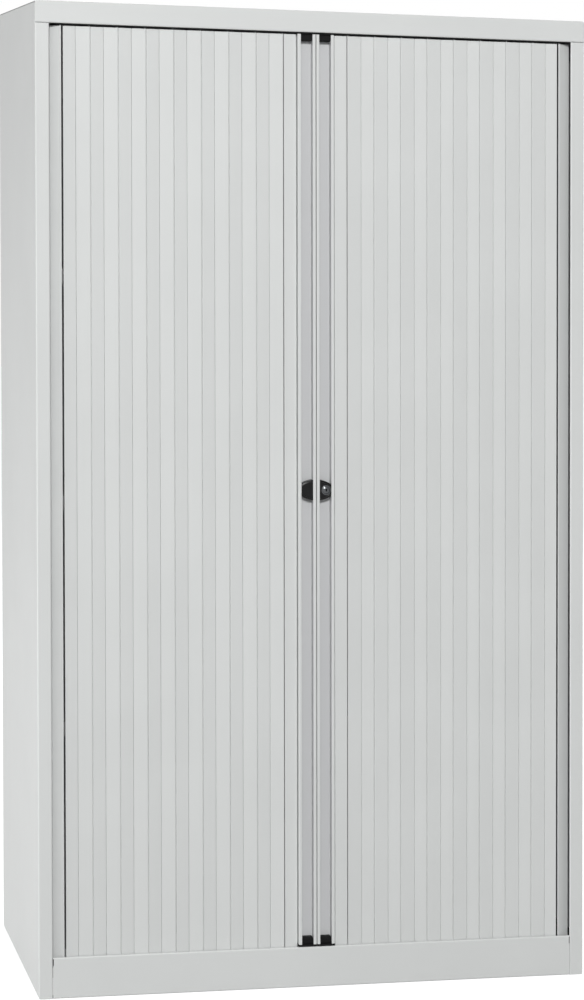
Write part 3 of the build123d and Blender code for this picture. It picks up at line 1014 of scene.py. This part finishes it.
def half_cover(bm, sizes, low, high, height):
    """Half of the oval cover: sloping rim, rounded ridge and a face set back in it."""
    place = Matrix.Translation((0, high[1], height)) @ FLAT_TO_FRONT
    oval = Matrix.Diagonal((1.0, sizes.half_height / sizes.half_length, 1.0, 1.0))
    bmesh.ops.create_circle(
        bm,
        cap_ends=True,
        segments=96,
        radius=sizes.half_length,
        matrix=place @ oval,
    )
    face = bm.faces[:][0]
    grown = bmesh.ops.extrude_face_region(bm, geom=[face])["geom"]
    cap = next(part for part in grown if isinstance(part, bmesh.types.BMFace))
    middle = Matrix.Translation((0, 0, -height))
    bmesh.ops.translate(bm, vec=(0, low[1] + sizes.rim - high[1], 0), verts=cap.verts)
    rim = [(across * sizes.bevel, deep * sizes.rim) for across, deep in RIM_SECTION]
    rim.append((FACE_START * sizes.bevel, sizes.recess))
    inset = 0.0
    behind = sizes.rim
    for next_inset, next_behind in rim:
        cap = bmesh.ops.extrude_discrete_faces(bm, faces=[cap])["faces"][0]
        keep = (sizes.half_height - next_inset) / (sizes.half_height - inset)
        bmesh.ops.scale(bm, vec=(keep, 1, keep), verts=cap.verts, space=middle)
        bmesh.ops.translate(bm, vec=(0, next_behind - behind, 0), verts=cap.verts)
        inset = next_inset
        behind = next_behind
    for x, normal in ((low[0], (-1, 0, 0)), (high[0], (1, 0, 0))):
        cut = bmesh.ops.bisect_plane(
            bm,
            geom=bm.verts[:] + bm.edges[:] + bm.faces[:],
            plane_co=(x, 0, 0),
            plane_no=normal,
            clear_outer=True,
        )["geom_cut"]
        open_edges = [part for part in cut if isinstance(part, bmesh.types.BMEdge)]
        bmesh.ops.holes_fill(bm, edges=open_edges, sides=0)


# Keeper pin: its distance from the middle, its radius and its root inside the cover
PIN_PLACE = 10 * MM
PIN_RADIUS = 2.4 * MM
PIN_ROOT = 1.0 * MM


def build_lock(sizes, web):
    """Both halves of the oval cover, the keeper pin, the cylinder and the keyhole."""
    for hand, node in (("left", "lock_keeper"), ("right", "lock_housing")):
        low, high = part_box(node)
        height = (low.z + high.z) / 2
        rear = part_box(f"{hand}_handle_stile")[1].y - web - CLEARANCE
        near, far = sorted((abs(low.x), abs(high.x)))
        bm = bmesh.new()
        half_cover(bm, sizes, (near, low.y), (far, rear), height)
        if node == "lock_keeper":
            length = high.y - rear + PIN_ROOT
            add_rod(bm, (PIN_PLACE, high.y - length / 2, height), PIN_RADIUS, length, axis="Y")
        bmesh.ops.scale(bm, vec=(SIDES[hand], 1, 1), verts=bm.verts)
        place_piece(bm, f"{node}_cover", f"{hand}_door", ["black_abs"], [node])
    build_cylinder(sizes, web)
    build_keyhole(sizes)
    dress("lock_hook", "zinc_plate")


# Play between the cylinder's ring and the channel's floor
CYLINDER_PLAY = 0.3 * MM
# Width of the groove between the ring and the plug, and its depth
GROOVE_WIDTH = 0.4 * MM
GROOVE_DEPTH = 1.5 * MM
# Rounded front of the ring: distance inside its rim and depth behind its front, in mm
RING_SECTION = ((0, 1.0), (0.2, 0.6), (0.7, 0.28), (1.2, 0.08), (1.6, 0), (1.9, 0.1))
# Domed front of the plug: share of its radius and depth behind the ring's front, in mm
DOME_SECTION = ((0.8, 0.85), (0.6, 0.48), (0.4, 0.22), (0, 0.1))
# Small edge on the plug: how far it stands inside the plug's side, and its depth
PLUG_EDGE = 0.1 * MM
PLUG_EDGE_DEPTH = 1.3 * MM
# Tail that carries the hook: its radius, and the radius and thickness of its head
TAIL_RADIUS = 4 * MM
TAIL_HEAD_RADIUS = 6 * MM
TAIL_HEAD = 1.3 * MM


def build_cylinder(sizes, web):
    """Chrome ring, turning plug and the tail behind them."""
    low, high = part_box("lock_cylinder")
    x, z = (low.x + high.x) / 2, (low.z + high.z) / 2
    front = low.y
    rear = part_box("right_handle_stile")[1].y - web - CYLINDER_PLAY
    groove = front + GROOVE_DEPTH
    profile = [(0.0, rear), (sizes.barrel, rear)]
    profile += [(sizes.barrel - inside * MM, front + deep * MM) for inside, deep in RING_SECTION]
    profile += [
        (sizes.plug + GROOVE_WIDTH, groove),
        (sizes.plug, groove),
        (sizes.plug - PLUG_EDGE, front + PLUG_EDGE_DEPTH),
    ]
    profile += [(share * sizes.plug, front + deep * MM) for share, deep in DOME_SECTION]
    bm = bmesh.new()
    turn_profile(bm, (x, 0, z), (0, 1, 0), profile, segments=64)
    tail = high.y - rear
    add_rod(bm, (x, rear + tail / 2, z), TAIL_RADIUS, tail, axis="Y")
    head = (x, high.y - TAIL_HEAD / 2, z)
    add_rod(bm, head, TAIL_HEAD_RADIUS, TAIL_HEAD, axis="Y", segments=32)
    nodes = ["lock_cylinder"]
    place_piece(bm, "lock_cylinder_ring", "lock", ["bright_chrome"], nodes)


# The keyhole's round part: its radius and its height above the middle, as a share of
# the keyhole's height
KEYHOLE_ROUND = 1.7 * MM
KEYHOLE_ROUND_UP = 0.12
# How far the keyhole's face lies behind the ring's front, and its corners' radius
KEYHOLE_BACK = 0.04 * MM
KEYHOLE_CORNER = 0.5 * MM


def build_keyhole(sizes):
    """Thin dark block in the plug's dome, a painted shadow for the keyhole."""
    low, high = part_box("lock_cylinder")
    x, z = (low.x + high.x) / 2, (low.z + high.z) / 2
    width, depth, tall = sizes.keyhole
    face = low.y + KEYHOLE_BACK
    bm = bmesh.new()
    slot = add_block(
        bm,
        (x - width / 2, face, z - tall / 2),
        (x + width / 2, face + depth, z + tall / 2),
    )
    corners = [e for e in edges_of(slot) if abs(e.verts[0].co.y - e.verts[1].co.y) > EPSILON]
    round_edges(bm, corners, KEYHOLE_CORNER)
    middle = (x, face + depth / 2, z + KEYHOLE_ROUND_UP * tall)
    add_rod(bm, middle, KEYHOLE_ROUND, depth, axis="Y")
    place_piece(bm, "lock_keyhole", "lock", ["keyhole_shadow"])


# Feet

# Radius of a foot's pad, and its section as distance inside the rim and height, in mm
PAD_RADIUS = 20 * MM
PAD_RIM = ((1.0, 0), (0, 1.0), (0, 3.0), (2.0, 5.0), (12.0, 6.0))
PAD_TOP = 6 * MM
# Stem: its thread's two radii, its chamfered top and its root inside the pad
STEM_ROOT = 4.2 * MM
STEM_CREST = 5.0 * MM
STEM_TOP = 3.6 * MM
STEM_CHAMFER = 0.3 * MM
STEM_BURIED = 0.5 * MM
# Thread: its pitch, the plain length above it, and where in the pitch the root ends
# and the crest lies
THREAD_PITCH = 1.5 * MM
THREAD_RUNOUT = 1 * MM
THREAD_ROOT_AT = 0.2
THREAD_CREST_AT = 0.6
# Nut under the base: its middle's height, half its width over the corners, its height
NUT_MIDDLE = 48.7 * MM
NUT_RADIUS = 9.6 * MM
NUT_HEIGHT = 8.0 * MM


def build_feet():
    """Levelling feet: a moulded pad, a threaded stem and a hexagon nut."""
    low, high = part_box("levelling_feet")
    pad = [(0.0, 0.0)]
    pad += [(PAD_RADIUS - inside * MM, height * MM) for inside, height in PAD_RIM]
    pad.append((0.0, PAD_TOP))
    stem = thread_profile(high.z)
    pads = bmesh.new()
    steel = bmesh.new()
    for x in (low.x + PAD_RADIUS, high.x - PAD_RADIUS):
        for y in (low.y + PAD_RADIUS, high.y - PAD_RADIUS):
            turn_profile(pads, (x, y, 0), (0, 0, 1), pad, segments=40)
            turn_profile(steel, (x, y, 0), (0, 0, 1), stem, segments=20)
            add_rod(steel, (x, y, NUT_MIDDLE), NUT_RADIUS, NUT_HEIGHT, segments=6)
    nodes = ["levelling_feet"]
    place_piece(pads, "foot_pads", "carcass", ["black_polypropylene"], nodes)
    place_piece(steel, "foot_stems", "carcass", ["zinc_plate"])


def thread_profile(top):
    """Profile of a stem whose thread is a stack of fine V rings."""
    root = PAD_TOP - STEM_BURIED
    points = [(0.0, root), (STEM_ROOT, root)]
    turns = int((top - PAD_TOP - THREAD_RUNOUT) / THREAD_PITCH)
    for turn in range(turns):
        foot = PAD_TOP + THREAD_PITCH * turn
        points.append((STEM_ROOT, foot + THREAD_ROOT_AT * THREAD_PITCH))
        points.append((STEM_CREST, foot + THREAD_CREST_AT * THREAD_PITCH))
    points.append((STEM_ROOT, top - STEM_CHAMFER))
    points.append((STEM_TOP, top))
    points.append((0.0, top))
    return points


# Carcass

CARCASS_COATED = (
    "left_side_panel",
    "right_side_panel",
    "top_panel",
    "plinth_panel",
    "base_panel",
    "floor_panel",
    "back_panel",
    "left_lining",
    "right_lining",
    "shelf_1",
    "shelf_2",
    "shelf_3",
)


def coat_carcass():
    """Finishes of the carcass panels, tracks, clips and glides."""
    for node in CARCASS_COATED:
        dress(node, "carcass_powder_coat")
    for node in ("upper_track", "lower_track"):
        dress(node, "black_track")
    dress("shelf_clips", "zinc_plate")
    for hand in SIDES:
        for number in range(1, SLATS + 1):
            dress(f"{hand}_glide_{number}", "natural_nylon")


# Stage


def seen_directly(tree):
    """One for rays from the camera, mirrors and glass, nought for the rest."""
    path = add_node(tree, "ShaderNodeLightPath")
    seen = path.outputs["Is Camera Ray"]
    for ray in ("Is Glossy Ray", "Is Transmission Ray"):
        both = {0: seen, 1: path.outputs[ray]}
        node = add_node(tree, "ShaderNodeMath", both, operation="ADD", use_clamp=True)
        seen = node.outputs[0]
    return seen


# Half the width of the floor
FLOOR_REACH = 15.0


def build_floor(stage):
    """Pale floor that keeps the cupboard's shadow and ends in white."""
    bm = bmesh.new()
    bmesh.ops.create_grid(bm, x_segments=1, y_segments=1, size=FLOOR_REACH)
    mesh = bpy.data.meshes.new("studio_floor")
    bm.to_mesh(mesh)
    bm.free()
    floor = bpy.data.objects.new("studio_floor", mesh)
    bpy.context.scene.collection.objects.link(floor)
    material, tree, shader = new_finish("studio_paper", {"Roughness": 0.9})
    greys = (stage.floor, stage.floor_shade)
    paper = patches(tree, object_place(tree), greys, size=400 * MM)
    fill_inputs(tree, shader, {"Base Color": paper})
    factors = {0: seen_directly(tree), 1: stage.glow}
    strength = add_node(tree, "ShaderNodeMath", factors, operation="MULTIPLY")
    glow = add_node(tree, "ShaderNodeEmission", {"Strength": strength.outputs[0]})
    both = {0: shader.outputs[0], 1: glow.outputs[0]}
    surface = add_node(tree, "ShaderNodeAddShader", both)
    fill_inputs(tree, tree.nodes["Material Output"], {"Surface": surface.outputs[0]})
    mesh.materials.append(material)


def build_surroundings(stage):
    """White surroundings: soft light on the object, plain white to the camera."""
    world = bpy.data.worlds.new("studio")
    bpy.context.scene.world = world
    world.use_nodes = True
    tree = world.node_tree
    ranged = {"Value": seen_directly(tree), "To Min": stage.sky, "To Max": 1.0}
    strength = add_node(tree, "ShaderNodeMapRange", ranged)
    inputs = {"Color": (1, 1, 1, 1), "Strength": strength.outputs["Result"]}
    fill_inputs(tree, tree.nodes["Background"], inputs)


# Where each lamp stands, what it is aimed at, and the side of its square. Its power is
# the setting of the same name
LAMPS = {
    "key": ((-1.85, -8.3, 5.3), (0, 0, 0.9), 1.6),
    "back": ((1.2, 5.5, 2.6), (0, 0, 0.9), 2.0),
    "fill": ((-3.0, -0.5, 0.5), (-0.5, 0, 0.5), 0.5),
    "side": ((4.2, 1.0, 1.4), (0.5, 0, 0.8), 1.2),
}


def add_lamp(name, place, aim, size, watts):
    """Square lamp aimed at a point."""
    lamp = bpy.data.lights.new(name, "AREA")
    lamp.shape = "SQUARE"
    lamp.size = size
    lamp.energy = watts
    holder = bpy.data.objects.new(name, lamp)
    bpy.context.scene.collection.objects.link(holder)
    way = Vector(aim) - Vector(place)
    holder.location = place
    holder.rotation_euler = way.to_track_quat("-Z", "Y").to_euler()


# Height of the camera's sensor in millimetres, and how far the camera sees
SENSOR = 36.0
VIEW_REACH = 100.0


def build_camera(stage):
    """Camera on a stand; the skew between them makes the picture's rows lean."""
    scene = bpy.context.scene
    data = bpy.data.cameras.new("camera")
    data.sensor_fit = "AUTO"
    data.sensor_width = SENSOR
    data.lens = stage.lens
    data.shift_y = stage.rise
    data.clip_end = VIEW_REACH
    camera = bpy.data.objects.new("camera", data)
    scene.collection.objects.link(camera)
    level = math.radians(90) - stage.pitch
    turn = Euler((level, 0, -stage.yaw)).to_matrix() @ Matrix.Rotation(stage.roll, 3, "Z")
    stand = bpy.data.objects.new("camera_stand", None)
    scene.collection.objects.link(stand)
    stand.matrix_world = Matrix.Translation(stage.camera_place) @ turn.to_4x4()
    camera.parent = stand
    skew = Matrix.Identity(4)
    skew[1][0] = stage.skew
    camera.matrix_parent_inverse = skew
    scene.camera = camera


def build_stage(stage):
    """Floor, surroundings, lamps and camera."""
    bpy.context.scene.view_settings.view_transform = "Standard"
    build_floor(stage)
    build_surroundings(stage)
    for name, (place, aim, size) in LAMPS.items():
        add_lamp(f"{name}_lamp", place, aim, size, getattr(stage, name))
    build_camera(stage)


# Add-on


class CoatCarcass(bpy.types.Operator):
    """Give the carcass, tracks, clips and glides their finishes"""

    bl_idname = "cupboard.coat_carcass"
    bl_label = "Coat carcass"

    def execute(self, context):
        coat_carcass()
        return {"FINISHED"}


class MakeSlats(bpy.types.Operator):
    """Make the slats of both curtains"""

    bl_idname = "cupboard.make_slats"
    bl_label = "Slats"

    def execute(self, context):
        build_slats(context.scene.cupboard_slats)
        return {"FINISHED"}


class MakeHandles(bpy.types.Operator):
    """Make the two handle stiles"""

    bl_idname = "cupboard.make_handles"
    bl_label = "Handle stiles"

    def execute(self, context):
        build_handles(context.scene.cupboard_slats, context.scene.cupboard_handles)
        return {"FINISHED"}


class MakeCaps(bpy.types.Operator):
    """Make the handle stiles' end caps"""

    bl_idname = "cupboard.make_caps"
    bl_label = "End caps"

    def execute(self, context):
        build_caps(context.scene.cupboard_handles)
        return {"FINISHED"}


class MakeLock(bpy.types.Operator):
    """Make the lock's cover, cylinder and keyhole"""

    bl_idname = "cupboard.make_lock"
    bl_label = "Lock"

    def execute(self, context):
        build_lock(context.scene.cupboard_lock, context.scene.cupboard_handles.web)
        return {"FINISHED"}


class MakeFeet(bpy.types.Operator):
    """Make the four levelling feet"""

    bl_idname = "cupboard.make_feet"
    bl_label = "Levelling feet"

    def execute(self, context):
        build_feet()
        return {"FINISHED"}


class MakeStage(bpy.types.Operator):
    """Make the floor, surroundings, lamps and camera"""

    bl_idname = "cupboard.make_stage"
    bl_label = "Stage"

    def execute(self, context):
        build_stage(context.scene.cupboard_stage)
        return {"FINISHED"}


OPERATORS = (CoatCarcass, MakeSlats, MakeHandles, MakeCaps, MakeLock, MakeFeet, MakeStage)
SETTINGS = {
    "cupboard_coat": CoatSettings,
    "cupboard_slats": SlatSettings,
    "cupboard_handles": HandleSettings,
    "cupboard_lock": LockSettings,
    "cupboard_stage": StageSettings,
}


class CupboardPanel(bpy.types.Panel):
    """Lists the cupboard's settings and operators"""

    bl_idname = "VIEW3D_PT_cupboard"
    bl_label = "Tambour cupboard"
    bl_space_type = "VIEW_3D"
    bl_region_type = "UI"
    bl_category = "Cupboard"

    def draw(self, context):
        for operator in OPERATORS:
            self.layout.operator(operator.bl_idname)
        for name, settings in SETTINGS.items():
            box = self.layout.box()
            for field in settings.__annotations__:
                box.prop(getattr(context.scene, name), field)


def register():
    for each in (*SETTINGS.values(), *OPERATORS, CupboardPanel):
        bpy.utils.register_class(each)
    for name, settings in SETTINGS.items():
        setattr(bpy.types.Scene, name, bpy.props.PointerProperty(type=settings))


def unregister():
    for name in SETTINGS:
        delattr(bpy.types.Scene, name)
    for each in reversed((*SETTINGS.values(), *OPERATORS, CupboardPanel)):
        bpy.utils.unregister_class(each)


def main():
    register()
    bpy.ops.cupboard.coat_carcass()
    bpy.ops.cupboard.make_slats()
    bpy.ops.cupboard.make_handles()
    bpy.ops.cupboard.make_caps()
    bpy.ops.cupboard.make_lock()
    bpy.ops.cupboard.make_feet()
    bpy.ops.cupboard.make_stage()


if __name__ == "__main__":
    main()
